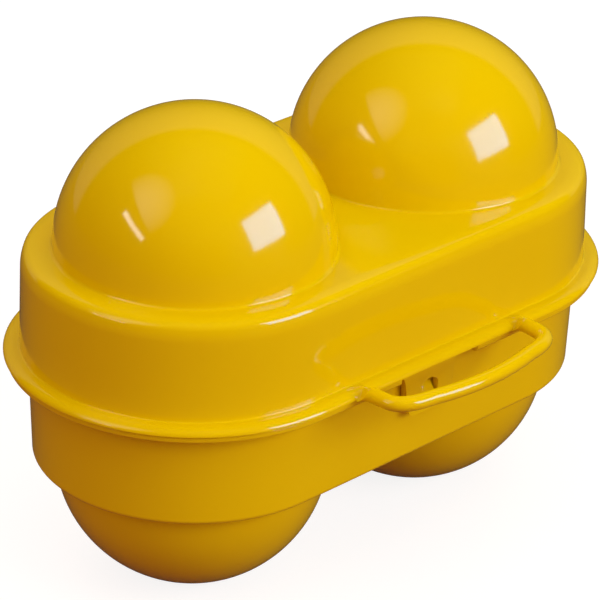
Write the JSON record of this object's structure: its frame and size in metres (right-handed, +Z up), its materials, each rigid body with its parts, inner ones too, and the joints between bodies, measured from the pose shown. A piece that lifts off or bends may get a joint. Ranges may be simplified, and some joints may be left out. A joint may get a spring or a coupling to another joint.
{
  "type": "two-egg carrying box",
  "caption": "Hinged racetrack-shaped egg box in glossy yellow plastic, with domed cups above and below, a snap latch in front and a carrying loop on the lid.",
  "frame": {"origin": "on the surface that the feet stand on, at the middle of the width and of the depth from the loop's front to the hinge's back", "axes": "+X along the two cups, +Z up, -Y towards the latch and the carrying loop, +Y towards the hinge"},
  "size_m": [0.1248, 0.0843, 0.0895],
  "materials": {
    "shell_plastic": "glossy injection-moulded polypropylene, saturated warm yellow",
    "pin_steel": "drawn steel wire with cropped ends"
  },
  "bodies": {
    "base": {"base_shell": "shell_plastic", "hinge_pin_left": "pin_steel", "hinge_pin_right": "pin_steel"},
    "lid": {"lid_shell": "shell_plastic"},
    "latch": {"latch_tongue": "shell_plastic"}
  },
  "joints": [
    {"name": "lid_hinge", "type": "hinge", "parent": "base", "child": "lid", "pos_m": [0, 0.0399, 0.0445], "axis": [-1, 0, 0], "range_deg": [0, 179]},
    {"name": "latch_flex", "type": "hinge", "parent": "lid", "child": "latch", "pos_m": [0, -0.02665, 0.0445], "axis": [-1, 0, 0], "range_deg": [0, 20], "stiffness_Nm_per_rad": 0.15}
  ]
}
